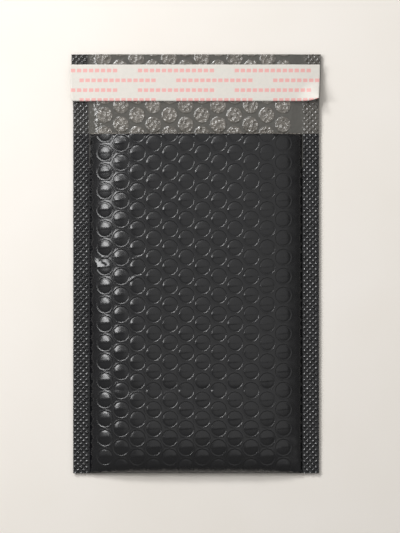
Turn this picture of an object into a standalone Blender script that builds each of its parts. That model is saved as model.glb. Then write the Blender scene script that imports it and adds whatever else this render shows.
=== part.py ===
"""A bubble mailer: an envelope of black film lined with air-bubble film.

It lies flat with its opening side up and its flap unfolded. X runs across the width, +Y points from the bottom
fold to the end of the flap, and +Z points up from the table. Every size is in metres.
"""

import math

import bmesh
import bpy
import numpy
from mathutils import Matrix, Vector

# Envelope
MAILER_WIDTH = 0.150
POCKET_LENGTH = 0.204
FLAP_LENGTH = 0.048
SEAL_WIDTH = 0.010
POCKET_RISE = 0.0095
POCKET_FLATNESS = 5
FOLD_REACH = 0.060

# Layers
FILM_THICKNESS = 0.0005
LINER_THICKNESS = 0.0016
LINER_EDGE_THICKNESS = 0.0004
LAYER_GAP = 0.0003
POCKET_SLIT = 0.0003
LINER_SIDE_CLEARANCE = 0.0040
LINER_FOLD_CLEARANCE = 0.0050
LINER_WELD = 0.0012

# Bubbles
BUBBLE_DIAMETER = 0.0100
BUBBLE_PITCH = 0.0114
BUBBLE_RELIEF = 0.0010
PILLOW_RELIEF = 0.0004
BUBBLE_BEVEL = 0.0006
CHANNEL_WIDTH = 0.0045
FOLD_MARGIN = 0.0100
FIELD_SHIFT = -0.0012

# Closure
ADHESIVE_WIDTH = 0.0150
ADHESIVE_THICKNESS = 0.0003
ADHESIVE_END_MARGIN = 0.0180
RELEASE_WIDTH = 0.0220
RELEASE_THICKNESS = 0.0003
RELEASE_EDGE_MARGIN = 0.0062
RELEASE_OVERHANG = 0.0008
RELEASE_SHORTFALL = 0.0004
CURL_REACH = 0.0140
CURL_HEIGHT = 0.0045

# Mesh resolution
FRONT_BUBBLE_SIDES = 8
BACK_BUBBLE_SIDES = 6
CROSS_STATIONS = 6
LENGTH_STATIONS = 4

# Places worked out from the sizes above
BOTTOM_Y = -(POCKET_LENGTH + FLAP_LENGTH) / 2
MOUTH_Y = BOTTOM_Y + POCKET_LENGTH
FLAP_END_Y = MOUTH_Y + FLAP_LENGTH
HALF_WIDTH = MAILER_WIDTH / 2
SEAL_X = HALF_WIDTH - SEAL_WIDTH
SEAL_Z = BUBBLE_RELIEF + FILM_THICKNESS
LINER_Z = SEAL_Z + LAYER_GAP
COLUMN_STEP = BUBBLE_PITCH * math.sqrt(3) / 2
CELL_RADIUS = BUBBLE_PITCH / math.sqrt(3)
COLUMNS = 1 + int((2 * (SEAL_X - CHANNEL_WIDTH) - BUBBLE_DIAMETER) / COLUMN_STEP)
NOSE_WALL = 2 * FILM_THICKNESS
LINER_X = SEAL_X - LINER_SIDE_CLEARANCE
LINER_FOLD_Y = BOTTOM_Y + LINER_FOLD_CLEARANCE
FLAP_TOP_Z = LINER_Z + LINER_THICKNESS + PILLOW_RELIEF
ADHESIVE_Z = FLAP_TOP_Z + LAYER_GAP
RELEASE_Z = ADHESIVE_Z + ADHESIVE_THICKNESS + LAYER_GAP
RELEASE_Y = FLAP_END_Y - RELEASE_EDGE_MARGIN - RELEASE_WIDTH / 2


def clear_scene():
    for item in list(bpy.data.objects):
        bpy.data.objects.remove(item, do_unlink=True)


def film_material(name, colour, roughness, metallic=0.0):
    material = bpy.data.materials.new(name)
    material.use_nodes = True
    shader = material.node_tree.nodes["Principled BSDF"]
    shader.inputs["Base Color"].default_value = (*colour, 1.0)
    shader.inputs["Roughness"].default_value = roughness
    shader.inputs["Metallic"].default_value = metallic
    return material


def cross_stations(half):
    """Places across the width: close together at the sides, where the pocket rises."""
    steps = range(-CROSS_STATIONS, CROSS_STATIONS + 1)
    knots = [SEAL_X * math.sin(math.pi / 2 * step / CROSS_STATIONS) for step in steps]
    return [-half, *(x for x in knots if abs(x) < half), half]


def fold_stations(start, end, wall=0.0):
    """Lengthwise places: close together at the bottom fold, where the pocket rises, then one long stretch."""
    steps = range(LENGTH_STATIONS + 1)
    knots = [BOTTOM_Y + wall + FOLD_REACH * (step / LENGTH_STATIONS) ** 2 for step in steps]
    return [start, *(y for y in knots if start < y < end), end]


def pocket_rise(x, y):
    """Height of the front film's inner face above the seal plane: nought at the seals and the bottom fold."""
    across = numpy.array(cross_stations(SEAL_X))
    along = numpy.array(fold_stations(BOTTOM_Y, MOUTH_Y))
    arch = 1 - (abs(across) / SEAL_X) ** POCKET_FLATNESS
    nose = 1 - numpy.clip(1 - (along - BOTTOM_Y) / FOLD_REACH, 0, 1) ** POCKET_FLATNESS
    return POCKET_RISE * float(numpy.interp(x, across, arch) * numpy.interp(y, along, numpy.sqrt(nose)))


def lining_rise(x, y):
    """The same height as the lining sees it, inside the film's own wall at the bottom fold."""
    return pocket_rise(x, min(y, MOUTH_Y) - NOSE_WALL)


def liner_thickness(x, y):
    """The lining is full in the field and is crushed thin where the envelope closes on it."""
    room = (lining_rise(x, y) - 2 * LAYER_GAP - POCKET_SLIT) / 2
    return min(max(room, LINER_EDGE_THICKNESS), LINER_THICKNESS)


def cell_centre(column, row):
    x = FIELD_SHIFT + (column - (COLUMNS - 1) / 2) * COLUMN_STEP
    y = MOUTH_Y + (row + (column % 2) / 2) * BUBBLE_PITCH
    return Vector((x, y, 0.0))


def honeycomb(mesh, y_low, y_high, bubble_low):
    """Lay hexagonal cells over a stretch of the web and return those that hold a bubble."""
    spare = math.ceil((HALF_WIDTH + COLUMN_STEP) / COLUMN_STEP) - COLUMNS // 2 + 1
    turn = Matrix.Rotation(math.pi / 6, 4, "Z")
    first_row = math.floor((y_low - MOUTH_Y) / BUBBLE_PITCH) - 1
    last_row = math.ceil((y_high - MOUTH_Y) / BUBBLE_PITCH) + 1
    bubble_here = []
    for column in range(-spare, COLUMNS + spare):
        for row in range(first_row, last_row):
            centre = cell_centre(column, row)
            place = Matrix.Translation(centre) @ turn
            bmesh.ops.create_circle(mesh, segments=6, radius=CELL_RADIUS, cap_ends=True, matrix=place)
            bubble_here.append(0 <= column < COLUMNS and bubble_low < centre.y)
    mesh.faces.ensure_lookup_table()
    bubbles = [face for face, holds_bubble in zip(mesh.faces, bubble_here) if holds_bubble]
    bmesh.ops.remove_doubles(mesh, verts=mesh.verts, dist=BUBBLE_PITCH / 1000)
    return bubbles


def raise_bubbles(mesh, faces, relief, sides):
    """Give each cell a flat cap that stands above the valleys: the cell's six sides, some of them split in two."""
    rim = BUBBLE_DIAMETER / 2 - BUBBLE_BEVEL
    bmesh.ops.inset_individual(mesh, faces=faces, thickness=BUBBLE_PITCH / 2 - rim * math.cos(math.pi / 6))
    for face in faces:
        centre = face.calc_center_median()

        def sideways(edge):
            return abs((edge.verts[0].co + edge.verts[1].co).x / 2 - centre.x)

        def bearing(vert):
            offset = vert.co - centre
            return (math.atan2(offset.y, offset.x) + math.pi / sides) % (2 * math.pi)

        for edge in sorted(face.edges, key=sideways, reverse=True)[: sides - 6]:
            bmesh.utils.edge_split(edge, edge.verts[0], 0.5)
        for step, vert in enumerate(sorted(face.verts, key=bearing)):
            turn = 2 * math.pi * step / sides
            vert.co = centre + Vector((rim * math.cos(turn), rim * math.sin(turn), relief))


def trim(mesh, x_half, y_low, y_high):
    """Cut the sheet to its outline, through bubbles too, as the real film is cut."""
    planes = (
        (Vector((x_half, 0, 0)), Vector((1, 0, 0))),
        (Vector((-x_half, 0, 0)), Vector((-1, 0, 0))),
        (Vector((0, y_high, 0)), Vector((0, 1, 0))),
        (Vector((0, y_low, 0)), Vector((0, -1, 0))),
    )
    for point, normal in planes:
        geometry = mesh.verts[:] + mesh.edges[:] + mesh.faces[:]
        bmesh.ops.bisect_plane(
            mesh, geom=geometry, dist=1e-7, plane_co=point, plane_no=normal, clear_outer=True
        )


def fold_border(mesh, x_lines, y_lines):
    """Crease the plain border of a sheet along straight lines, where it bends, and merge what lies between."""
    border = {face for face in mesh.faces if max(vert.co.z for vert in face.verts) < FILM_THICKNESS / 1000}
    lines = [(Vector((x, 0, 0)), Vector((1, 0, 0))) for x in x_lines]
    lines += [(Vector((0, y, 0)), Vector((0, 1, 0))) for y in y_lines]
    for point, normal in lines:
        edges = {edge for face in border for edge in face.edges}
        verts = {vert for face in border for vert in face.verts}
        cut = bmesh.ops.bisect_plane(
            mesh, geom=list(verts) + list(edges) + list(border), dist=1e-7, plane_co=point, plane_no=normal
        )
        border = {item for item in cut["geom"] if isinstance(item, bmesh.types.BMFace)}
    fields = {}
    for face in border:
        centre = face.calc_center_median()
        place = (sum(centre.x > x for x in x_lines), sum(centre.y > y for y in y_lines))
        fields.setdefault(place, []).append(face)
    for field in fields.values():
        bmesh.ops.dissolve_faces(mesh, faces=field, use_verts=False)
    straight = []
    for vert in mesh.verts:
        if len(vert.link_edges) == 2:
            first, second = (edge.other_vert(vert).co - vert.co for edge in vert.link_edges)
            if first.angle(second) > math.radians(179.5):
                straight.append(vert)
    bmesh.ops.dissolve_verts(mesh, verts=straight)


def close_to_plane(mesh, height):
    """Drop the outline of an open sheet to a level plane and close the plane."""
    outline = [edge for edge in mesh.edges if edge.is_boundary]
    wall = bmesh.ops.extrude_edge_only(mesh, edges=outline)["geom"]
    for item in wall:
        if isinstance(item, bmesh.types.BMVert):
            item.co.z = height
    rim = [item for item in wall if isinstance(item, bmesh.types.BMEdge) and item.is_boundary]
    bmesh.ops.contextual_create(mesh, geom=rim)


def finished_object(mesh, name, collection):
    """Close a bmesh off as an object with its faces pointing out."""
    bmesh.ops.triangulate(mesh, faces=mesh.faces)
    bmesh.ops.recalc_face_normals(mesh, faces=mesh.faces)
    data = bpy.data.meshes.new(name)
    mesh.to_mesh(data)
    mesh.free()
    item = bpy.data.objects.new(name, data)
    collection.objects.link(item)
    return item


def lens(name, collection, half, start, end, ceiling, floor):
    """A closed lens under a ceiling that follows the pocket, over a level floor."""
    mesh = bmesh.new()
    across = cross_stations(half)
    along = fold_stations(start, end, NOSE_WALL)
    bmesh.ops.create_grid(mesh, x_segments=len(across) - 1, y_segments=len(along) - 1, size=1.0)
    for vert in mesh.verts:
        x = across[round((vert.co.x + 1) / 2 * (len(across) - 1))]
        y = along[round((vert.co.y + 1) / 2 * (len(along) - 1))]
        vert.co = Vector((x, y, ceiling(x, y)))
    close_to_plane(mesh, floor)
    return finished_object(mesh, name, collection)


def combine(target, tool, operation):
    """Apply one exact Boolean and put the tool out of sight."""
    cut = target.modifiers.new(operation.lower(), "BOOLEAN")
    cut.operation = operation
    cut.solver = "EXACT"
    cut.object = tool
    tool.hide_render = True
    tool.display_type = "WIRE"


def front_panel(collection):
    """The front of the film: caps over the bubbles, a smooth channel and a flat seal at each side."""
    mesh = bmesh.new()
    bubbles = honeycomb(mesh, BOTTOM_Y, MOUTH_Y, BOTTOM_Y + FOLD_MARGIN)
    raise_bubbles(mesh, bubbles, BUBBLE_RELIEF, FRONT_BUBBLE_SIDES)
    trim(mesh, HALF_WIDTH, BOTTOM_Y, MOUTH_Y)
    fold_border(mesh, cross_stations(SEAL_X), fold_stations(BOTTOM_Y, MOUTH_Y)[1:-1])
    for vert in mesh.verts:
        rise = pocket_rise(vert.co.x, vert.co.y)
        vert.co.z += SEAL_Z + FILM_THICKNESS + rise
    close_to_plane(mesh, SEAL_Z - FILM_THICKNESS / 2)
    return finished_object(mesh, "outer_film", collection)


def back_panel(collection):
    """The back of the film and the flap: caps down on the table, flat seals above it."""
    mesh = bmesh.new()
    bubbles = honeycomb(mesh, BOTTOM_Y, FLAP_END_Y, BOTTOM_Y + FOLD_MARGIN)
    raise_bubbles(mesh, bubbles, BUBBLE_RELIEF, BACK_BUBBLE_SIDES)
    trim(mesh, HALF_WIDTH, BOTTOM_Y, FLAP_END_Y)
    fold_border(mesh, [], [])
    for vert in mesh.verts:
        vert.co.z = BUBBLE_RELIEF - vert.co.z
    close_to_plane(mesh, SEAL_Z)
    return finished_object(mesh, "back_panel", collection)


def outer_film(collection, tools):
    """One web: the front is hollowed and welded to the back along both seals and the bottom fold."""
    front = front_panel(collection)
    hollow = lens(
        "pocket_hollow", tools, SEAL_X, BOTTOM_Y + NOSE_WALL, MOUTH_Y + SEAL_WIDTH,
        lambda x, y: SEAL_Z + lining_rise(x, y), SEAL_Z - FILM_THICKNESS,
    )
    combine(front, hollow, "DIFFERENCE")
    combine(front, back_panel(tools), "UNION")
    return front


def back_lining(collection):
    """The lining of the back and the flap; on the flap its flat side swells over each bubble."""
    mesh = bmesh.new()
    bubbles = honeycomb(mesh, LINER_FOLD_Y, FLAP_END_Y, MOUTH_Y + BUBBLE_PITCH / 4)
    raise_bubbles(mesh, bubbles, PILLOW_RELIEF, BACK_BUBBLE_SIDES)
    trim(mesh, HALF_WIDTH, LINER_FOLD_Y, FLAP_END_Y)
    step_y = MOUTH_Y + LAYER_GAP
    fold_border(mesh, cross_stations(LINER_X), [*fold_stations(LINER_FOLD_Y, MOUTH_Y, NOSE_WALL)[1:-1], step_y])
    spare = [
        face for face in mesh.faces
        if abs(face.calc_center_median().x) > LINER_X and face.calc_center_median().y < step_y
    ]
    bmesh.ops.delete(mesh, geom=spare, context="FACES")
    for vert in mesh.verts:
        vert.co.z += LINER_Z + liner_thickness(vert.co.x, vert.co.y)
    close_to_plane(mesh, LINER_Z)
    return finished_object(mesh, "bubble_liner", collection)


def bubble_liner(collection, tools):
    """One web: the front lining is a hollowed lens, welded to the back lining along its sides and fold."""
    back = back_lining(collection)
    half = LINER_X - LAYER_GAP
    start = LINER_FOLD_Y + LAYER_GAP

    def ceiling(x, y):
        return SEAL_Z + lining_rise(x, y) - LAYER_GAP

    def pocket_ceiling(x, y):
        return ceiling(x, y) - liner_thickness(x, y)

    front = lens("front_lining", tools, half, start, MOUTH_Y, ceiling, LINER_Z + LINER_EDGE_THICKNESS / 2)
    hollow = lens(
        "pocket_space", tools, half - LINER_WELD, start + LINER_WELD, MOUTH_Y + LINER_WELD, pocket_ceiling, LINER_Z
    )
    combine(front, hollow, "DIFFERENCE")
    combine(back, front, "UNION")
    return back


def adhesive_strip(collection):
    """A flat band of glue across the flap, hidden by the release liner."""
    mesh = bmesh.new()
    size = (MAILER_WIDTH - 2 * ADHESIVE_END_MARGIN, ADHESIVE_WIDTH, ADHESIVE_THICKNESS)
    place = Matrix.Translation((0, RELEASE_Y, ADHESIVE_Z + ADHESIVE_THICKNESS / 2))
    bmesh.ops.create_cube(mesh, size=1.0, matrix=place @ Matrix.Diagonal((*size, 1.0)))
    upright = [edge for edge in mesh.edges if abs(edge.verts[0].co.z - edge.verts[1].co.z) > ADHESIVE_THICKNESS / 2]
    bmesh.ops.bevel(mesh, geom=upright, offset=ADHESIVE_WIDTH / 5, segments=2, profile=0.5, affect="EDGES")
    return finished_object(mesh, "adhesive_strip", collection)


def release_liner(collection):
    """The peel-off strip: it runs from edge to edge, and its inner right corner has curled up."""
    mesh = bmesh.new()
    left = -HALF_WIDTH - RELEASE_OVERHANG
    right = HALF_WIDTH - RELEASE_SHORTFALL
    bmesh.ops.create_grid(mesh, x_segments=12, y_segments=3, size=1.0)
    corner = Vector((right, RELEASE_Y - RELEASE_WIDTH / 2))
    for vert in mesh.verts:
        along = 1 - (1 - (vert.co.x + 1) / 2) ** 1.5
        place = Vector((left + (right - left) * along, RELEASE_Y + RELEASE_WIDTH / 2 * vert.co.y))
        curl = max(1 - (place - corner).length / CURL_REACH, 0.0)
        vert.co = Vector((place.x, place.y, RELEASE_Z + CURL_HEIGHT * curl ** 1.5))
    strip = finished_object(mesh, "release_liner", collection)
    body = strip.modifiers.new("thickness", "SOLIDIFY")
    body.thickness = RELEASE_THICKNESS
    body.offset = 1.0
    return strip


def build():
    clear_scene()
    parts = bpy.data.collections.new("bubble_mailer")
    tools = bpy.data.collections.new("shaping_solids")
    for collection in (parts, tools):
        bpy.context.scene.collection.children.link(collection)
    film = outer_film(parts, tools)
    film.data.materials.append(film_material("black_film", (0.035, 0.035, 0.034), 0.35))
    lining = bubble_liner(parts, tools)
    lining.data.materials.append(film_material("clear_bubble_film", (0.20, 0.19, 0.18), 0.25))
    glue = adhesive_strip(parts)
    glue.data.materials.append(film_material("pressure_glue", (0.62, 0.58, 0.45), 0.4))
    strip = release_liner(parts)
    strip.data.materials.append(film_material("release_paper", (0.78, 0.76, 0.72), 0.45))


build()
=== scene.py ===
# %% [markdown]
# # A black bubble mailer
#
# The real object is an envelope made of one web of black polyethylene film, laminated to a web of
# air-bubble film, folded at the bottom and crimped along both sides. It lies on its back with the flap
# unfolded. The camera looks straight down on it, so nearly everything the eye gets is how light runs over
# small relief: the bubbles, the crimped seals and the soft creases.
#
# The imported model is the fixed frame, and every new piece stands for one of its nodes.

# %% Load the frame
import math

import bmesh
import bpy
import numpy as np
from mathutils import Matrix, Vector


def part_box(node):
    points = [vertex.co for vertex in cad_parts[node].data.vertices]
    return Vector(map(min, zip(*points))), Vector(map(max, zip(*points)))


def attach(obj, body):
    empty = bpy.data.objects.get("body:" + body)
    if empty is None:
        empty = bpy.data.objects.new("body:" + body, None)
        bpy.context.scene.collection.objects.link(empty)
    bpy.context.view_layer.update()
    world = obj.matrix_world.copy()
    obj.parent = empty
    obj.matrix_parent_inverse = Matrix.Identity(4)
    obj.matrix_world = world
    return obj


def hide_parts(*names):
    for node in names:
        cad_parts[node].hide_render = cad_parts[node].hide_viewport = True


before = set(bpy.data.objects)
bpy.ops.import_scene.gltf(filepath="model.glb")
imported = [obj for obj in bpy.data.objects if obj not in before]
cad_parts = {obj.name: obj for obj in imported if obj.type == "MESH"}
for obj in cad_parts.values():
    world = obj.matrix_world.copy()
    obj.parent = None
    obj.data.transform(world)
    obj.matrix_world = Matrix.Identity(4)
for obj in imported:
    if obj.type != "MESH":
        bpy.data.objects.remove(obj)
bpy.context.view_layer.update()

print("nodes:", sorted(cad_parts))

# %% [markdown]
# ## Sizes
#
# All sizes are in millimetres and are turned into metres when a mesh is finished. The outline comes from
# the frame. The bubbles, the swell of the pocket and the bands across the flap are the maker's own sizes.

# %% Sizes
MM = 0.001
film_low, film_high = (np.array(corner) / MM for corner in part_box("outer_film"))
HALF_WIDTH = (film_high[0] - film_low[0]) / 2
BOTTOM_Y = film_low[1]
FLAP_END_Y = film_high[1]
FLAP_LENGTH = 48.0
MOUTH_Y = FLAP_END_Y - FLAP_LENGTH
SEAL_WIDTH = 10.0
SEAL_X = HALF_WIDTH - SEAL_WIDTH
FILM = 0.5
BUBBLE_RELIEF = 1.0
SEAL_Z = BUBBLE_RELIEF + FILM
POCKET_RISE = 9.5
POCKET_FLATNESS = 5
FOLD_REACH = 60.0
LAYER_GAP = 0.3
LINER = 1.6
LINER_EDGE = 0.4
PILLOW_RELIEF = 0.4

BUBBLE_PITCH = 11.4
COLUMN_STEP = BUBBLE_PITCH * math.sqrt(3) / 2
CELL_RADIUS = BUBBLE_PITCH / math.sqrt(3)
COLUMNS = 12
MIDDLE_COLUMN = (COLUMNS - 1) / 2
FIELD_SHIFT = -1.2
FOLD_MARGIN = 3.0
print(f"mailer {2 * HALF_WIDTH:.1f} mm wide and {FLAP_END_Y - BOTTOM_Y:.1f} mm long")

# %% [markdown]
# ## One bubble cell, repeated
#
# Bubble film is a hexagonal lattice, so the whole web can be laid from one hexagonal cell. The cell starts
# as a circle operator with six sides. Its edges are subdivided, its face is inset again and again, and the
# inner rings are pushed out to true circles. Rings crowd together at the rim of the bubble, because that is
# where the film bends. A cell without a bubble needs only one ring.

# %% The cell
CELL_SIDES = 12
FOLD_SLANT = math.radians(7)


def cell_mesh(radii, fold_cuts=()):
    """A flat hexagonal cell with a ring of points at each radius, and cuts across its cap for a fold."""
    cell = bmesh.new()
    turn = Matrix.Rotation(math.pi / 6, 4, "Z")
    bmesh.ops.create_circle(cell, cap_ends=True, segments=6, radius=CELL_RADIUS, matrix=turn)
    bmesh.ops.subdivide_edges(cell, edges=cell.edges[:], cuts=CELL_SIDES // 6 - 1)
    cell.faces.ensure_lookup_table()
    middle = cell.faces[0]
    for radius in radii:
        bmesh.ops.inset_individual(cell, faces=[middle], thickness=0.05)
        for vert in middle.verts:
            vert.co = vert.co.normalized() * radius
    bmesh.ops.poke(cell, faces=[middle])
    normal = Vector((-math.sin(FOLD_SLANT), math.cos(FOLD_SLANT), 0))
    for distance in fold_cuts:
        cap = [face for face in cell.faces if face.calc_center_median().length < radii[-2]]
        geometry = cap + list({edge for face in cap for edge in face.edges})
        geometry += list({vert for face in cap for vert in face.verts})
        bmesh.ops.bisect_plane(cell, geom=geometry, dist=1e-3, plane_co=normal * distance, plane_no=normal)
    return cell


def cell_centre(column, row):
    """The middle of a cell; each second column is shifted by half a pitch."""
    x = FIELD_SHIFT + (column - MIDDLE_COLUMN) * COLUMN_STEP
    return x, MOUTH_Y + (row + (column % 2) / 2) * BUBBLE_PITCH


def honeycomb(radii, y_low, y_high, bubble_low, half_width, fold_cuts=()):
    """Lay cells over a stretch of web, cut the sheet to its outline and return it."""
    sheet = bmesh.new()
    spare = math.ceil((half_width - MIDDLE_COLUMN * COLUMN_STEP) / COLUMN_STEP) + 1
    first_row = math.floor((y_low - MOUTH_Y) / BUBBLE_PITCH) - 1
    last_row = math.ceil((y_high - MOUTH_Y) / BUBBLE_PITCH) + 1
    with_bubble, plain = bpy.data.meshes.new("cell"), bpy.data.meshes.new("plain_cell")
    for data, rings, cuts in ((with_bubble, radii, fold_cuts), (plain, [CELL_RADIUS * 0.5], ())):
        cell = cell_mesh(rings, cuts)
        cell.to_mesh(data)
        cell.free()
    for column in range(-spare, COLUMNS + spare):
        for row in range(first_row, last_row + 1):
            x, y = cell_centre(column, row)
            if not y_low - CELL_RADIUS < y < y_high + CELL_RADIUS or abs(x) > half_width + CELL_RADIUS:
                continue
            holds_bubble = 0 <= column < COLUMNS and y > bubble_low
            template = with_bubble if holds_bubble else plain
            cell = bmesh.new()
            cell.from_mesh(template)
            bmesh.ops.translate(cell, vec=(x, y, 0), verts=cell.verts[:])
            placed = bpy.data.meshes.new("placed")
            cell.to_mesh(placed)
            cell.free()
            sheet.from_mesh(placed)
            bpy.data.meshes.remove(placed)
    for template in (with_bubble, plain):
        bpy.data.meshes.remove(template)
    bmesh.ops.remove_doubles(sheet, verts=sheet.verts[:], dist=0.02)
    outline = (
        ((half_width, 0, 0), (1, 0, 0)),
        ((-half_width, 0, 0), (-1, 0, 0)),
        ((0, y_high, 0), (0, 1, 0)),
        ((0, y_low, 0), (0, -1, 0)),
    )
    for point, normal in outline:
        everything = sheet.verts[:] + sheet.edges[:] + sheet.faces[:]
        bmesh.ops.bisect_plane(
            sheet, geom=everything, dist=1e-4, plane_co=point, plane_no=normal, clear_outer=True
        )
    return sheet


FRONT_RINGS = [5.42, 5.2, 4.95, 4.7, 4.3, 3.2]
FOLD_CUTS = [1.5, 0.5, -0.2, -0.9]
front = honeycomb(FRONT_RINGS, BOTTOM_Y, MOUTH_Y, BOTTOM_Y + FOLD_MARGIN, SEAL_X, FOLD_CUTS)
print("front sheet:", len(front.verts), "points,", len(front.faces), "faces")

# %% [markdown]
# ## How the web lies
#
# The pocket swells a little because the bubble film is springy. One function gives the height of the front
# above the seals at any place; it falls to nothing at the seals and at the bottom fold. Other functions give
# the relief of one bubble, the crimping of a seal and the slow creases. Each works on whole arrays of points.

# %% The swell and the nearest bubble
def pocket_rise(x, y):
    """Height of the front above the seal plane."""
    arch = 1 - np.clip(np.abs(x) / SEAL_X, 0, 1) ** POCKET_FLATNESS
    along = 1 - np.clip((y - BOTTOM_Y) / FOLD_REACH, 0, 1)
    return POCKET_RISE * arch * np.sqrt(np.clip(1 - along ** POCKET_FLATNESS, 0, 1))


def nearest_bubble(x, y, bubble_low):
    """Distance to the middle of the nearest bubble, the offset from it, its number, and if it is blown."""
    best = np.full(x.shape, 1e9)
    dx, dy, number = np.zeros(x.shape), np.zeros(x.shape), np.zeros(x.shape)
    holds = np.zeros(x.shape, bool)
    guess = np.round((x - FIELD_SHIFT) / COLUMN_STEP + MIDDLE_COLUMN)
    for step in (-1, 0, 1):
        column = guess + step
        shift = np.mod(column, 2) / 2
        row = np.round((y - MOUTH_Y) / BUBBLE_PITCH - shift)
        centre_x = FIELD_SHIFT + (column - MIDDLE_COLUMN) * COLUMN_STEP
        centre_y = MOUTH_Y + (row + shift) * BUBBLE_PITCH
        distance = np.hypot(x - centre_x, y - centre_y)
        closer = distance < best
        best = np.where(closer, distance, best)
        dx = np.where(closer, x - centre_x, dx)
        dy = np.where(closer, y - centre_y, dy)
        number = np.where(closer, column * 57.0 + row * 131.0, number)
        blown = (column >= 0) & (column < COLUMNS) & (centre_y > bubble_low)
        holds = np.where(closer, blown, holds)
    return best, dx, dy, number, holds


def chance(number, salt):
    """A repeatable value from 0 to 1 for each bubble."""
    return np.mod(np.sin(number * 12.9898 + salt * 78.233) * 43758.5453, 1.0)


def smooth_step(low, high, value):
    """0 below the first limit, 1 above the second, and smooth between them."""
    t = np.clip((value - low) / (high - low), 0, 1)
    return t * t * (3 - 2 * t)


def hump(value, width):
    """1 at nought, falling away on both sides."""
    return np.exp(-((value / width) ** 2))


# %% [markdown]
# ## The relief of one bubble
#
# On the outside a bubble shows as a low dome that falls away to its rim, and there the film climbs steeply
# to a small lip on the web. That outer wall faces the light at the lower right of each bubble, which gives
# the thin bright arcs. Across the cap runs a slack fold, gentle above and steep below. The real seal bar
# leaves a pattern that repeats every 4.3 mm and seems to hold several small points. Here it is drawn as
# plain bosses, one at each crossing of slanting rows that repeat every 3.5 mm.

# %% Relief of a cap, a seal and a crease
RIM_RADIUS = 4.7
CAP_FALL = 0.38
WEB_HEIGHT = 0.76
LIP_RADIUS = 5.26
LIP_HEIGHT = 0.17
LIP_WIDTH = 0.26
FOLD_HEIGHT = 0.31
FOLD_ABOVE, FOLD_BELOW = 0.95, 0.75


def cap_relief(x, y, bubble_low):
    """The cap, its fold, the outer wall and the lip, as heights above the seal plane."""
    radius, dx, dy, number, holds = nearest_bubble(x, y, bubble_low)
    cap = 1 - CAP_FALL * (np.minimum(radius, RIM_RADIUS) / RIM_RADIUS) ** 5
    cap += ((chance(number, 1) - 0.5) * dx + (chance(number, 2) - 0.5) * dy) * 0.02
    across = dy * math.cos(FOLD_SLANT) - dx * math.sin(FOLD_SLANT) - FOLD_CUTS[1]
    fold = np.where(across > 0, hump(across, FOLD_ABOVE), hump(across, FOLD_BELOW))
    strength = FOLD_HEIGHT * (0.5 + 0.5 * chance(number, 5))
    cap += strength * fold * (1 - smooth_step(3.2, 4.5, radius))
    outside = smooth_step(RIM_RADIUS - 0.05, LIP_RADIUS, radius)
    web = WEB_HEIGHT + LIP_HEIGHT * hump(radius - LIP_RADIUS, LIP_WIDTH)
    height = cap * (1 - outside) + web * outside
    return np.where(holds, height, WEB_HEIGHT) * BUBBLE_RELIEF


CRIMP_PITCH = 3.5
CRIMP_DEPTH = 0.62


def crimp_relief(x, y):
    """The seal bar leaves slanting rows of small bosses of uneven height."""
    rising = (x + y) / CRIMP_PITCH
    falling = (x - y) / CRIMP_PITCH
    boss = (0.5 + 0.5 * np.cos(2 * math.pi * rising)) * (0.5 + 0.5 * np.cos(2 * math.pi * falling))
    number = np.round(rising) * 17.0 + np.round(falling) * 29.0
    return CRIMP_DEPTH * boss * (0.65 + 0.5 * chance(number, 7))


def slow_waves(x, y, size, salt):
    """A few long sine waves of mixed direction stand in for the film's unevenness."""
    total = np.zeros(x.shape)
    for index in range(5):
        angle = 1.3 * index + salt
        rate = 0.7 + 0.35 * index
        total += np.sin((x * math.cos(angle) + y * math.sin(angle)) / size * rate + 2.1 * index + salt)
    return total / 5


def crease(x, y, start, end, width, depth):
    """A straight dent from start to end that fades at both ends."""
    run_x, run_y = end[0] - start[0], end[1] - start[1]
    length = math.hypot(run_x, run_y)
    along = ((x - start[0]) * run_x + (y - start[1]) * run_y) / length ** 2
    across = ((x - start[0]) * run_y - (y - start[1]) * run_x) / length
    fade = smooth_step(-0.05, 0.15, along) * (1 - smooth_step(0.85, 1.05, along))
    return -depth * hump(across, width) * fade


# %% [markdown]
# ## From the flat web to the object
#
# `shaped` reads the flat coordinates of a sheet, gives each point its height, turns millimetres into metres
# and makes the object. A sheet gets a body in one of two ways. Where its underside shows, Solidify gives it
# a wall. Where it lies on another layer, its border is extruded down to that layer and closed with one face.

# %% Helpers for pieces
PULL_IN = 0.014


def drawn_in(x, y):
    """The full pocket is a little narrower than the flat flap."""
    return x * (1 - PULL_IN * (1 - smooth_step(MOUTH_Y + 12, FLAP_END_Y - 8, y)))


def close_to(sheet, level):
    """Extrude the border of a sheet to a level and close it there with one flat face."""
    border = [edge for edge in sheet.edges if edge.is_boundary]
    walls = bmesh.ops.extrude_edge_only(sheet, edges=border)["geom"]
    foot = [item for item in walls if isinstance(item, bmesh.types.BMVert)]
    for vert in foot:
        vert.co.z = level
    rim = [item for item in walls if isinstance(item, bmesh.types.BMEdge) and item.is_boundary]
    bmesh.ops.contextual_create(sheet, geom=rim)


def add_piece(sheet, name, node, wall=0.0, smooth=True):
    """Turn a bmesh in millimetres into a piece that rides on the root and stands for a node."""
    bmesh.ops.transform(sheet, matrix=Matrix.Diagonal((MM, MM, MM, 1)), verts=sheet.verts[:])
    data = bpy.data.meshes.new(name)
    sheet.to_mesh(data)
    sheet.free()
    piece = bpy.data.objects.new(name, data)
    bpy.context.scene.collection.objects.link(piece)
    if smooth:
        data.shade_smooth()
        data.set_sharp_from_angle(angle=math.radians(60))
    if wall:
        body = piece.modifiers.new("film_wall", "SOLIDIFY")
        body.thickness = wall * MM
        body.offset = -1.0
    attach(piece, "root")
    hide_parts(node)
    print(name, len(data.polygons), "faces")
    return piece


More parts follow.
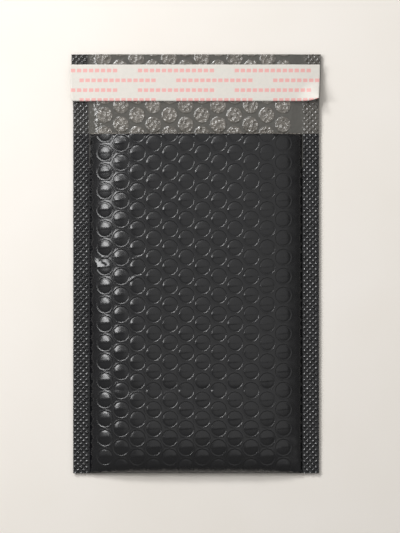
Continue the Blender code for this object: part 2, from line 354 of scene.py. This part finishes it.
def shaped(sheet, height, level=None, blown=None):
    """Move a flat sheet to its place, and close it down to a level where one is given."""
    flat = np.array([vert.co for vert in sheet.verts])
    x, y = flat[:, 0], flat[:, 1]
    placed = np.stack([drawn_in(x, y), y, height(x, y)], 1)
    if blown:
        layer = sheet.verts.layers.float.new("blown")
        for vert, value in zip(sheet.verts, blown(x, y)):
            vert[layer] = float(value)
    for vert, place in zip(sheet.verts, placed):
        vert.co = place
    if level is not None:
        close_to(sheet, level)
    bmesh.ops.recalc_face_normals(sheet, faces=sheet.faces[:])
    if level is None and sum(face.normal.z for face in sheet.faces) < 0:
        bmesh.ops.reverse_faces(sheet, faces=sheet.faces[:])
    return sheet


def grid_sheet(x_low, x_high, y_low, y_high, step):
    """A flat grid between limits, with cells of about the given size."""
    sheet = bmesh.new()
    across = max(1, round((x_high - x_low) / step))
    along = max(1, round((y_high - y_low) / step))
    place = Matrix.Translation(((x_low + x_high) / 2, (y_low + y_high) / 2, 0))
    size = Matrix.Diagonal(((x_high - x_low) / 2, (y_high - y_low) / 2, 1, 1))
    bmesh.ops.create_grid(sheet, x_segments=across, y_segments=along, size=1.0, matrix=place @ size)
    return sheet


# %% [markdown]
# ## The front of the outer film
#
# The photograph shows one long dent across the lower part, where the mailer was once folded, and short ones
# made with `crease`. By the left seal the film is nipped into small flat facets that flash white. Each facet
# is a tilted triangle, and the mesh is divided finer round it first.

# %% Front film
CREASES = (
    ((-60, -75.5), (52, -75.0), 1.1, 0.4),
    ((46, -106), (50, -110), 0.9, 0.5),
    ((59, -103), (61, -106), 0.8, 0.5),
)
# three corners, the height of the middle above the film, and the rise along x and y
FACETS = (
    ((-63.4, 3.6), (-53.8, -0.9), (-60.2, -2.6), 0.35, 0.34, -0.12),
    ((-39.2, -5.8), (-35.4, -7.6), (-40.2, -10.4), 0.15, 0.14, -0.33),
    ((-38.6, 3.0), (-33.8, 6.2), (-35.6, 2.8), 0.15, 0.14, -0.33),
)


SHORT_EDGE = 0.6


def triangle_mask(x, y, corners):
    """1 inside the triangle and 0 outside, with a soft edge."""
    mask = np.ones(x.shape)
    middle = np.mean(corners, axis=0)
    for (ax, ay), (bx, by) in zip(corners, corners[1:] + corners[:1]):
        length = math.hypot(bx - ax, by - ay)
        inward = ((bx - ax) * (middle[1] - ay) - (by - ay) * (middle[0] - ax)) / length
        distance = ((bx - ax) * (y - ay) - (by - ay) * (x - ax)) / length * math.copysign(1, inward)
        mask = mask * smooth_step(-0.3, 0.3, distance)
    return mask


def refine(sheet, corners, reach=2.0):
    """Divide the faces round a triangle, so the facet has points to stand on."""
    low, high = np.min(corners, axis=0) - reach, np.max(corners, axis=0) + reach
    centres = [(face, face.calc_center_median()) for face in sheet.faces]
    near = [face for face, middle in centres
            if low[0] < middle.x < high[0] and low[1] < middle.y < high[1]]
    edges = list({edge for face in near for edge in face.edges if edge.calc_length() > SHORT_EDGE})
    bmesh.ops.subdivide_edges(sheet, edges=edges, cuts=2, use_grid_fill=True)
    bmesh.ops.triangulate(sheet, faces=[face for face in sheet.faces if len(face.verts) > 4])


def front_height(x, y):
    """Height of the front film: the swell, the bubbles, slow waves, the creases and the facets."""
    relief = cap_relief(x, y, BOTTOM_Y + FOLD_MARGIN)
    calm = smooth_step(0, 1.5, SEAL_X - np.abs(x))
    top = SEAL_Z + FILM + pocket_rise(x, y) + relief * calm + 0.12 * slow_waves(x, y, 8.0, 0.4) * calm
    for start, end, width, depth in CREASES:
        top += crease(x, y, start, end, width, depth)
    for *corners, lift, rise_x, rise_y in FACETS:
        middle = np.mean(corners, axis=0)
        level = SEAL_Z + FILM + BUBBLE_RELIEF * WEB_HEIGHT + pocket_rise(middle[0], middle[1]) + lift
        plane = level + rise_x * (x - middle[0]) + rise_y * (y - middle[1])
        top += triangle_mask(x, y, corners) * (plane - top)
    return top


for *corners, lift, rise_x, rise_y in FACETS:
    refine(front, corners)
FILM_WALL = 0.25
add_piece(shaped(front, front_height), "front_film", "outer_film", FILM_WALL)

# %% [markdown]
# ## The crimped seals
#
# A heated, patterned bar presses the layers into one band. Real relief catches the light as separate sparks,
# which bump alone does not, so the band is a fine grid whose points rise and fall with the pattern.

# %% Seals
SEAL_GRID = CRIMP_PITCH / 14
SEAL_FOOT = 1.2


def band_fade(x):
    """The pattern starts just outside the inner edge of the seal and stops short of the outer edge."""
    return smooth_step(0, 0.7, np.abs(x) - SEAL_X) * smooth_step(0, 0.5, HALF_WIDTH - np.abs(x))


def seal_height(x, y):
    """The pressed band lies a little lower than the film beside it."""
    return SEAL_Z + FILM - 0.1 + crimp_relief(x, y) * band_fade(x) + 0.15 * slow_waves(x, y, 6.0, 1.9)


SIDES = ((-1, "left"), (1, "right"))
for side, word in SIDES:
    x_low, x_high = sorted((side * SEAL_X, side * HALF_WIDTH))
    band = grid_sheet(x_low, x_high, BOTTOM_Y, MOUTH_Y, SEAL_GRID)
    add_piece(shaped(band, seal_height, SEAL_FOOT), "seal_" + word, "outer_film")

# %% [markdown]
# ## The back of the outer film
#
# The back and the flap are one web, with the caps down on the table. Its upper face is hidden, so it is
# closed flat.

# %% Back film
BACK_RINGS = [5.3, 4.9, 4.5]
BACK_TOP = SEAL_Z - 0.25
back = honeycomb(BACK_RINGS, BOTTOM_Y, FLAP_END_Y, BOTTOM_Y + FOLD_MARGIN, HALF_WIDTH)


def back_height(x, y):
    """The same relief turned over, so the caps stand on the table."""
    relief = np.clip(cap_relief(x, y, BOTTOM_Y + FOLD_MARGIN), 0, BUBBLE_RELIEF)
    return BUBBLE_RELIEF - np.where(np.abs(x) < SEAL_X, relief, 0)


add_piece(shaped(back, back_height, BACK_TOP), "back_film", "outer_film")

# %% [markdown]
# ## The bottom fold
#
# The web turns round a small radius from back to front. A thin round bar shows the same form.

# %% Bottom fold
FOLD_RADIUS = 0.55
fold_half = HALF_WIDTH * (1 - PULL_IN)
fold = bmesh.new()
bmesh.ops.create_cone(
    fold, cap_ends=True, segments=12, radius1=FOLD_RADIUS, radius2=FOLD_RADIUS, depth=2 * fold_half,
    matrix=Matrix.Translation((0, BOTTOM_Y + FOLD_RADIUS, SEAL_Z)) @ Matrix.Rotation(math.pi / 2, 4, "Y"),
)
add_piece(fold, "bottom_fold", "outer_film")

# %% [markdown]
# ## The lining
#
# The flap shows the flat side of the bubble film. Each bubble pushes its film up into a low pillow with a
# hard rim, and the pillows are slack and wrinkled. The crimp of the side seals runs on up the flap. The
# attribute `blown` is 1 on a pillow and 0 on the web, so the material can tell air from welded film.

# %% Lining
def liner_height(x, y):
    """Upper face of the back lining, which is crushed thin where the envelope closes on it."""
    rise = pocket_rise(x, np.minimum(y, MOUTH_Y) - 1.0)
    room = (rise - 2 * LAYER_GAP - 0.3) / 2
    return SEAL_Z + LAYER_GAP + np.clip(room, LINER_EDGE, LINER)


LINING_LOW = MOUTH_Y - 20
PILLOW_LOW = MOUTH_Y - 2 * BUBBLE_PITCH


WALL_FOOT = 5.2
WALL_WIDTH = 0.75
WRINKLE_DEPTH = 0.16


def pillow_relief(x, y):
    """A slack pillow over each bubble, with a straight wall that flashes at the upper left."""
    radius, dx, dy, number, holds = nearest_bubble(x, y, PILLOW_LOW)
    pillow = 0.95 * np.clip((WALL_FOOT - radius) / WALL_WIDTH, 0, 1)
    rim = 0.2 * hump(radius - 4.3, 0.35)
    phase = 6 * chance(number, 3)
    wrinkle = WRINKLE_DEPTH * np.sin(dx * 1.9 + phase) * np.sin(dy * 2.3 + dx * 0.8 + phase)
    wrinkle = wrinkle * (radius < 4.2)
    return np.where(holds, PILLOW_RELIEF * (pillow + rim) + wrinkle, 0.0)


def flap_height(x, y):
    """The lining of the flap: pillows in the field and crimp in the bands."""
    top = liner_height(x, y) + pillow_relief(x, y)
    return top + crimp_relief(x, y) * band_fade(x) + 0.10 * slow_waves(x, y, 7.0, 3.3)


def pillow_mask(x, y):
    """1 where the film is slack over air and 0 where it is welded."""
    radius, dx, dy, number, holds = nearest_bubble(x, y, PILLOW_LOW)
    return np.where(holds, (1 - smooth_step(4.0, 5.3, radius)) * (0.7 + 0.3 * chance(number, 9)), 0.0)


FLAP_RINGS = [5.3, 5.2, 4.83, 4.45, 4.2, 3.4, 2.2]
LINING_FOOT = 1.35
flap = honeycomb(FLAP_RINGS, LINING_LOW, FLAP_END_Y, PILLOW_LOW, SEAL_X)
flap = shaped(flap, flap_height, LINING_FOOT, pillow_mask)
add_piece(flap, "flap_lining", "bubble_liner")
for side, word in SIDES:
    x_low, x_high = sorted((side * SEAL_X, side * HALF_WIDTH))
    band = grid_sheet(x_low, x_high, MOUTH_Y + LAYER_GAP, FLAP_END_Y, SEAL_GRID)
    band = shaped(band, flap_height, LINING_FOOT)
    add_piece(band, "flap_band_" + word, "bubble_liner")

# %% [markdown]
# ## The lining in the pocket
#
# Inside the pocket the lining goes on along the back and the front. It is seen only through the open mouth,
# so a coarse grid is enough.

# %% Lining in the pocket
INNER_X = 61.0
INNER_LOW = BOTTOM_Y + 5.0
LINING_WALL = 0.3
MOUTH_PEEP = 0.6


def ceiling_height(x, y):
    """Upper face of the front lining, just under the film."""
    return SEAL_Z + pocket_rise(x, y) - LAYER_GAP


floor_sheet = shaped(grid_sheet(-INNER_X, INNER_X, INNER_LOW, LINING_LOW, 4.0), liner_height)
add_piece(floor_sheet, "back_lining", "bubble_liner", LINING_WALL)
ceiling_sheet = grid_sheet(-INNER_X, INNER_X, INNER_LOW, MOUTH_Y + MOUTH_PEEP, 2.5)
ceiling_sheet = shaped(ceiling_sheet, ceiling_height, blown=pillow_mask)
add_piece(ceiling_sheet, "front_lining", "bubble_liner", LINER)

# %% [markdown]
# ## The cut edge at the mouth
#
# Where the lining is cut off at the mouth, its edge stands a little past the black film. Cut bubbles make
# it uneven, so it is flat shaded and catches the light in pieces.

# %% Cut edge at the mouth
CUT_HALF = 64.0
cut_edge = grid_sheet(-CUT_HALF, CUT_HALF, MOUTH_Y - 0.3, MOUTH_Y + MOUTH_PEEP, 0.45)


def cut_height(x, y):
    """The ragged upper face of the cut edge."""
    ripple = 0.35 * np.sin(x * 1.9) * np.sin(x * 0.53 + 1.0) + 0.2 * np.sin(x * 4.3 + 3 * y)
    return SEAL_Z + FILM + pocket_rise(x, y) + 0.15 + ripple * smooth_step(0, 4, CUT_HALF - np.abs(x))


def all_slack(x, y):
    """The cut edge is slack all along."""
    return np.ones(x.shape)


cut_edge = shaped(cut_edge, cut_height, blown=all_slack)
add_piece(cut_edge, "mouth_edge", "bubble_liner", 0.6, smooth=False)

# %% [markdown]
# ## The release liner
#
# A strip of coated paper lies over the glue, from edge to edge of the flap. Its inner right corner has
# curled up, which also draws that corner inwards.

# %% Release liner
strip_low, strip_high = (np.array(corner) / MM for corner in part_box("release_liner"))
STRIP_Z = strip_low[2]
STRIP_WALL = 0.15
CURL_REACH = 14.0
CURL_HEIGHT = 3.8
CURL_INSET = 2.2


def strip_curl(x, y):
    """1 at the curled corner, falling to 0 away from it."""
    away = np.hypot(x - strip_high[0], y - strip_low[1])
    return np.clip(1 - away / CURL_REACH, 0, 1) ** 1.5


def strip_height(x, y):
    """The strip lies flat, droops over the seals and rises at the curled corner."""
    curl = strip_curl(x, y)
    droop = 0.5 * smooth_step(SEAL_X - 6, HALF_WIDTH, np.abs(x)) * (1 - smooth_step(0, 0.3, curl))
    return STRIP_Z + CURL_HEIGHT * curl - droop + 0.10 * slow_waves(x, y, 14.0, 0.9)


strip = grid_sheet(strip_low[0], strip_high[0], strip_low[1], strip_high[1], 0.8)
strip = shaped(strip, strip_height)
for vert in strip.verts:
    vert.co.y += CURL_INSET * strip_curl(vert.co.x, vert.co.y) ** 2
add_piece(strip, "release_strip", "release_liner", STRIP_WALL)

# %% [markdown]
# ## Materials
#
# Colours are written as sRGB hex and turned to linear by one function. A helper adds a node with its
# settings and links. Patterns read Object coordinates, which are metres here, so `per_mm` turns a size in
# millimetres into a texture scale.

# %% Material helpers
def linear(hex_colour):
    """An sRGB hex colour as the linear colour that a shader wants."""
    channels = [int(hex_colour[index:index + 2], 16) / 255 for index in (1, 3, 5)]
    return [c / 12.92 if c <= 0.04045 else ((c + 0.055) / 1.055) ** 2.4 for c in channels] + [1.0]


def add_node(tree, kind, settings=None, links=None):
    """Add a node, set its sockets and properties, and link its inputs."""
    node = tree.nodes.new(kind)
    for key, value in (settings or {}).items():
        if isinstance(key, int) or key in node.inputs:
            node.inputs[key].default_value = value
        else:
            setattr(node, key, value)
    for socket, source in (links or {}).items():
        tree.links.new(source, node.inputs[socket])
    return node


def new_material(name, colour, roughness, ior):
    """A material with its node tree, its shader and the object's own coordinates."""
    material = bpy.data.materials.new(name)
    material.use_nodes = True
    tree = material.node_tree
    shader = tree.nodes["Principled BSDF"]
    shader.inputs["Base Color"].default_value = linear(colour)
    shader.inputs["Roughness"].default_value = roughness
    shader.inputs["IOR"].default_value = ior
    place = add_node(tree, "ShaderNodeTexCoord").outputs["Object"]
    return material, tree, shader, place


def per_mm(size):
    """Texture scale for a feature of this size in millimetres."""
    return 1 / (size * MM)


# %% [markdown]
# ### Black polyethylene film
#
# Low-density polyethylene with carbon black, blown and then embossed by the bubbles behind it. It is very
# dark and softly glossy. Blowing leaves faint die lines along the web, and handling leaves a fine haze. To
# the eye it is a dull mirror: nearly all that shows is light from the panels, broken by the relief. The real
# grain is finer than a pixel of the picture, so it is drawn coarser.

# %% Black film
black_film, tree, shader, place = new_material("blown_polyethylene_film_carbon_black", "#161617", 0.3, 1.51)
stretch = add_node(tree, "ShaderNodeMapping", {"Scale": (1.0, 0.12, 1.0)}, {"Vector": place})
die_lines = add_node(tree, "ShaderNodeTexNoise", {"Scale": per_mm(1.6), "Detail": 2.0},
                     {"Vector": stretch.outputs["Vector"]})
haze = add_node(tree, "ShaderNodeTexNoise", {"Scale": per_mm(9.0), "Detail": 4.0}, {"Vector": place})
grain = add_node(tree, "ShaderNodeTexNoise", {"Scale": per_mm(0.7), "Detail": 2.0}, {"Vector": place})
gloss = add_node(tree, "ShaderNodeMapRange", {"To Min": 0.20, "To Max": 0.32}, {"Value": haze.outputs[0]})
spot = add_node(tree, "ShaderNodeSeparateXYZ", {}, {0: place})
side = add_node(tree, "ShaderNodeMath", {"operation": "ABSOLUTE"}, {0: spot.outputs["X"]})
# the hot bar polishes the seals
pressed = add_node(tree, "ShaderNodeMapRange",
                   {"From Min": (SEAL_X - 1.5) * MM, "From Max": SEAL_X * MM, "To Max": 0.12},
                   {"Value": side.outputs[0]})
polish = add_node(tree, "ShaderNodeMath", {"operation": "SUBTRACT"},
                  {0: gloss.outputs[0], 1: pressed.outputs[0]})
tree.links.new(polish.outputs[0], shader.inputs["Roughness"])
# slip wax blooms to the surface and makes it shinier than plain polyethylene
shader.inputs["Specular IOR Level"].default_value = 0.6
tint = add_node(tree, "ShaderNodeMix", {"data_type": "RGBA", 6: linear("#0e0f12"), 7: linear("#161618")},
                {0: haze.outputs[0]})
tree.links.new(tint.outputs[2], shader.inputs["Base Color"])
lines = add_node(tree, "ShaderNodeBump", {"Strength": 0.25, "Distance": 0.035 * MM},
                 {"Height": die_lines.outputs[0]})
skin = add_node(tree, "ShaderNodeBump", {"Strength": 0.3, "Distance": 0.012 * MM},
                {"Height": grain.outputs[0], "Normal": lines.outputs[0]})
tree.links.new(skin.outputs[0], shader.inputs["Normal"])

# %% [markdown]
# ### Clear bubble film over black
#
# Where the clear film holds air it looks milky grey, and where it is welded to the black web it looks dark.
# Slack film glitters, so the bump is strong and the surface glossy. The eye gets grey discs full of small
# sparks on a darker ground. The real wrinkles are finer than a pixel, so they are drawn coarser.

# %% Clear bubble film
clear_film, tree, shader, place = new_material("clear_bubble_film_on_black", "#55524d", 0.18, 1.51)
# the inner and outer face of the clear film both mirror the light
shader.inputs["Specular IOR Level"].default_value = 0.75
blown = add_node(tree, "ShaderNodeAttribute", {"attribute_name": "blown"})
mottle = add_node(tree, "ShaderNodeTexNoise", {"Scale": per_mm(3.0), "Detail": 5.0, "Roughness": 0.65},
                  {"Vector": place})
milk = add_node(tree, "ShaderNodeMath", {"operation": "MULTIPLY"},
                {0: blown.outputs["Fac"], 1: mottle.outputs[0]})
milk = add_node(tree, "ShaderNodeMath", {"operation": "MULTIPLY", 1: 1.7, "use_clamp": True},
                {0: milk.outputs[0]})
air = add_node(tree, "ShaderNodeMix", {"data_type": "RGBA", 6: linear("#52504b"), 7: linear("#837e77")},
               {0: milk.outputs[0]})
spot = add_node(tree, "ShaderNodeSeparateXYZ", {}, {0: place})
side = add_node(tree, "ShaderNodeMath", {"operation": "ABSOLUTE"}, {0: spot.outputs["X"]})
# the crimped bands, the right one lighter than the left
weld = add_node(tree, "ShaderNodeMapRange",
                {"From Min": (SEAL_X - 1) * MM, "From Max": (SEAL_X + 0.5) * MM}, {"Value": side.outputs[0]})
right = add_node(tree, "ShaderNodeMath", {"operation": "GREATER_THAN", 1: 0.0}, {0: spot.outputs["X"]})
band = add_node(tree, "ShaderNodeMix", {"data_type": "RGBA", 6: linear("#272625"), 7: linear("#55524d")},
                {0: right.outputs[0]})
shade = add_node(tree, "ShaderNodeMix", {"data_type": "RGBA"},
                 {0: weld.outputs[0], 6: air.outputs[2], 7: band.outputs[2]})
tree.links.new(shade.outputs[2], shader.inputs["Base Color"])
# only the slack middle of a pillow is wrinkled, and its wall stays clean enough to flash
slack = add_node(tree, "ShaderNodeMapRange", {"From Min": 0.55, "From Max": 0.7, "To Min": 0.22},
                 {"Value": blown.outputs["Fac"]})
loose = add_node(tree, "ShaderNodeMath", {"operation": "SUBTRACT", "use_clamp": True},
                 {0: slack.outputs[0], 1: weld.outputs[0]})
crinkle = add_node(tree, "ShaderNodeTexNoise", {"Scale": per_mm(1.6), "Detail": 3.0, "Distortion": 0.8},
                   {"Vector": place})
soft_bump = add_node(tree, "ShaderNodeBump", {"Distance": 0.7 * MM},
                     {"Height": crinkle.outputs[0], "Strength": loose.outputs[0]})
facets = add_node(tree, "ShaderNodeTexVoronoi", {"Scale": per_mm(2.4)}, {"Vector": place})
wrinkles = add_node(tree, "ShaderNodeBump", {"Distance": 1.1 * MM},
                    {"Height": facets.outputs["Distance"], "Strength": loose.outputs[0],
                     "Normal": soft_bump.outputs[0]})
tree.links.new(wrinkles.outputs[0], shader.inputs["Normal"])

# %% [markdown]
# ### Release paper
#
# Bleached kraft paper with a thin silicone coat, so it is pale and only just shiny. Its place for print
# holds rows of short pale-red dashes, in blocks that are shifted from row to row. The sizes are millimetres.

# %% Release paper
paper, tree, shader, place = new_material("silicone_coated_release_paper", "#e6ddd6", 0.45, 1.46)
ROW_PITCH, BLOCK_PERIOD, BLOCK_LENGTH = 5.9, 58.2, 45.8
DASH_PERIOD, DASH_LENGTH, DASH_SHARE = 3.6, 2.6, 0.36
FIRST_ROW_Y = 116.2
BLOCK_SHIFT = 23.1
# four more periods keep the remainder positive as far as the left edge
BLOCK_START = 35.0 + 4 * BLOCK_PERIOD
spot = add_node(tree, "ShaderNodeSeparateXYZ", {}, {0: place})
down = add_node(tree, "ShaderNodeMath",
                {"operation": "MULTIPLY_ADD", 1: -1 / (ROW_PITCH * MM), 2: FIRST_ROW_Y / ROW_PITCH + 0.5},
                {0: spot.outputs["Y"]})
row = add_node(tree, "ShaderNodeMath", {"operation": "FLOOR"}, {0: down.outputs[0]})
odd = add_node(tree, "ShaderNodeMath", {"operation": "MODULO", 1: 2.0}, {0: row.outputs[0]})
shift = add_node(tree, "ShaderNodeMath", {"operation": "MULTIPLY_ADD", 1: -BLOCK_SHIFT, 2: BLOCK_START},
                 {0: odd.outputs[0]})
run = add_node(tree, "ShaderNodeMath", {"operation": "MULTIPLY_ADD", 1: 1 / MM},
               {0: spot.outputs["X"], 2: shift.outputs[0]})
along = add_node(tree, "ShaderNodeMath", {"operation": "MODULO", 1: BLOCK_PERIOD}, {0: run.outputs[0]})
in_block = add_node(tree, "ShaderNodeMath", {"operation": "LESS_THAN", 1: BLOCK_LENGTH},
                    {0: along.outputs[0]})
step = add_node(tree, "ShaderNodeMath", {"operation": "MODULO", 1: DASH_PERIOD}, {0: along.outputs[0]})
in_dash = add_node(tree, "ShaderNodeMath", {"operation": "LESS_THAN", 1: DASH_LENGTH}, {0: step.outputs[0]})
across = add_node(tree, "ShaderNodeMath", {"operation": "FRACT"}, {0: down.outputs[0]})
in_line = add_node(tree, "ShaderNodeMath", {"operation": "COMPARE", 1: 0.5, 2: DASH_SHARE / 2},
                   {0: across.outputs[0]})
dashes = add_node(tree, "ShaderNodeMath", {"operation": "MULTIPLY"},
                  {0: in_block.outputs[0], 1: in_dash.outputs[0]})
ink = add_node(tree, "ShaderNodeMath", {"operation": "MULTIPLY"},
               {0: dashes.outputs[0], 1: in_line.outputs[0]})
fibres = add_node(tree, "ShaderNodeTexNoise", {"Scale": per_mm(2.0), "Detail": 5.0}, {"Vector": place})
sheet_tone = add_node(tree, "ShaderNodeMix",
                      {"data_type": "RGBA", 6: linear("#d8d5cd"), 7: linear("#e5dfd7")},
                      {0: fibres.outputs[0]})
inked = add_node(tree, "ShaderNodeMix", {"data_type": "RGBA", 7: linear("#ebb0ac")},
                 {0: ink.outputs[0], 6: sheet_tone.outputs[2]})
tree.links.new(inked.outputs[2], shader.inputs["Base Color"])
felt = add_node(tree, "ShaderNodeBump", {"Strength": 0.2, "Distance": 0.05 * MM},
                {"Height": fibres.outputs[0]})
tree.links.new(felt.outputs[0], shader.inputs["Normal"])

# %% [markdown]
# ### Hot-melt glue
#
# The glue is a tacky, honey-coloured band. The strip hides it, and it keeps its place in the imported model.

# %% Glue
glue, tree, shader, place = new_material("pressure_sensitive_hot_melt", "#cfc7a8", 0.3, 1.48)
ropes = add_node(tree, "ShaderNodeTexNoise", {"Scale": per_mm(2.5), "Detail": 2.0}, {"Vector": place})
honey = add_node(tree, "ShaderNodeMix", {"data_type": "RGBA", 6: linear("#bfb48e"), 7: linear("#dcd5ba")},
                 {0: ropes.outputs[0]})
tree.links.new(honey.outputs[2], shader.inputs["Base Color"])

# %% [markdown]
# ## Which piece is made of what
#
# Every new piece gets the material of its web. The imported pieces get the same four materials, which only
# shows on a piece that is kept as it is.

# %% Give each piece its material
FINISHES = {
    "outer_film": black_film,
    "bubble_liner": clear_film,
    "release_liner": paper,
    "adhesive_strip": glue,
}
BLACK_PIECES = ("front_film", "seal_left", "seal_right", "back_film", "bottom_fold")
CLEAR_PIECES = ("flap_lining", "flap_band_left", "flap_band_right", "back_lining", "front_lining",
                "mouth_edge")
for names, material in ((BLACK_PIECES, black_film), (CLEAR_PIECES, clear_film), (("release_strip",), paper)):
    for name in names:
        bpy.data.objects[name].data.materials.append(material)
for node_name, material in FINISHES.items():
    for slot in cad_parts[node_name].material_slots:
        slot.material = material

# %% [markdown]
# ## Floor
#
# A matt, pale, slightly warm table. It gives the eye a plain ground and throws soft light back up at the
# sides of the pocket.

# %% Floor
FLOOR_HALF = 600
floor_mesh = grid_sheet(-FLOOR_HALF, FLOOR_HALF, -FLOOR_HALF, FLOOR_HALF, 2 * FLOOR_HALF)
bmesh.ops.transform(floor_mesh, matrix=Matrix.Diagonal((MM, MM, MM, 1)), verts=floor_mesh.verts[:])
floor_data = bpy.data.meshes.new("floor")
floor_mesh.to_mesh(floor_data)
floor_mesh.free()
floor = bpy.data.objects.new("floor", floor_data)
bpy.context.scene.collection.objects.link(floor)
floor_paint, tree, shader, place = new_material("matt_pale_table", "#f4eee6", 0.8, 1.45)
cloud = add_node(tree, "ShaderNodeTexNoise", {"Scale": per_mm(60.0), "Detail": 2.0}, {"Vector": place})
wash = add_node(tree, "ShaderNodeMix", {"data_type": "RGBA", 6: linear("#f1ebe2"), 7: linear("#f7f2ec")},
                {0: cloud.outputs[0]})
tree.links.new(wash.outputs[2], shader.inputs["Base Color"])
floor_data.materials.append(floor_paint)

# %% [markdown]
# ## Lights
#
# The light is plain and soft. A panel low at the upper left draws the bright arcs on the bubble rims. One
# nearer on the left gives the sheen where the pocket slopes away, and a small one above it lights the folds
# of the caps. A wide weak one hangs over the middle and right, where the flat film mirrors it. The world
# fills the rest, and is darker towards the horizon.

# %% Lights
world = bpy.data.worlds.new("studio")
bpy.context.scene.world = world
world.use_nodes = True
sky = world.node_tree
sky.nodes["Background"].inputs["Color"].default_value = (1.0, 0.985, 0.96, 1.0)
direction = add_node(sky, "ShaderNodeTexCoord")
up = add_node(sky, "ShaderNodeSeparateXYZ", {}, {0: direction.outputs["Generated"]})
level = add_node(sky, "ShaderNodeMapRange", {"To Min": 0.17, "To Max": 0.31}, {"Value": up.outputs["Z"]})
sky.links.new(level.outputs[0], sky.nodes["Background"].inputs["Strength"])


def area_light(name, place, size, watts, target=(0, 0, 0)):
    """A panel that lights the scene and isn't seen by the camera."""
    data = bpy.data.lights.new(name, "AREA")
    data.shape = "RECTANGLE"
    data.size, data.size_y = size
    data.energy = watts
    light = bpy.data.objects.new(name, data)
    light.visible_camera = False
    bpy.context.scene.collection.objects.link(light)
    light.location = place
    light.rotation_euler = (Vector(target) - Vector(place)).to_track_quat("-Z", "Y").to_euler()


area_light("low_panel_upper_left", (-1.24, 1.76, 1.52), (0.43, 0.43), 21.0)
area_light("high_panel_left", (-0.56, 0.19, 0.56), (0.19, 0.30), 2.6, target=(-0.05, 0.06, 0))
area_light("small_panel_above", (-0.22, 0.38, 0.50), (0.20, 0.11), 0.9, target=(-0.05, 0.05, 0))
area_light("overhead_panel", (0.50, 0.16, 0.80), (1.4, 1.0), 1.65, target=(0.50, 0.16, 0))

# %% [markdown]
# ## Camera
#
# The camera looks straight down from 2 m, which is far enough to keep the rows of bubbles in their places.
# The lens follows from how many millimetres of the mailer one pixel covers.

# %% Camera
MM_PER_PIXEL = 0.6024
PICTURE_ROWS = 533
FRAME_HEIGHT = PICTURE_ROWS * MM_PER_PIXEL * MM
SENSOR = 36.0
CAMERA_X, CAMERA_Y = 2.35, -1.6
CAMERA_DISTANCE = 2.0
camera_data = bpy.data.cameras.new("camera")
camera = bpy.data.objects.new("camera", camera_data)
bpy.context.scene.collection.objects.link(camera)
camera.location = (CAMERA_X * MM, CAMERA_Y * MM, CAMERA_DISTANCE)
camera_data.sensor_width = SENSOR
camera_data.lens = SENSOR * CAMERA_DISTANCE / FRAME_HEIGHT
camera_data.clip_start = 0.01
bpy.context.scene.camera = camera
bpy.context.scene.view_settings.view_transform = "Standard"
print(f"lens {camera_data.lens:.1f} mm at {CAMERA_DISTANCE:.1f} m")
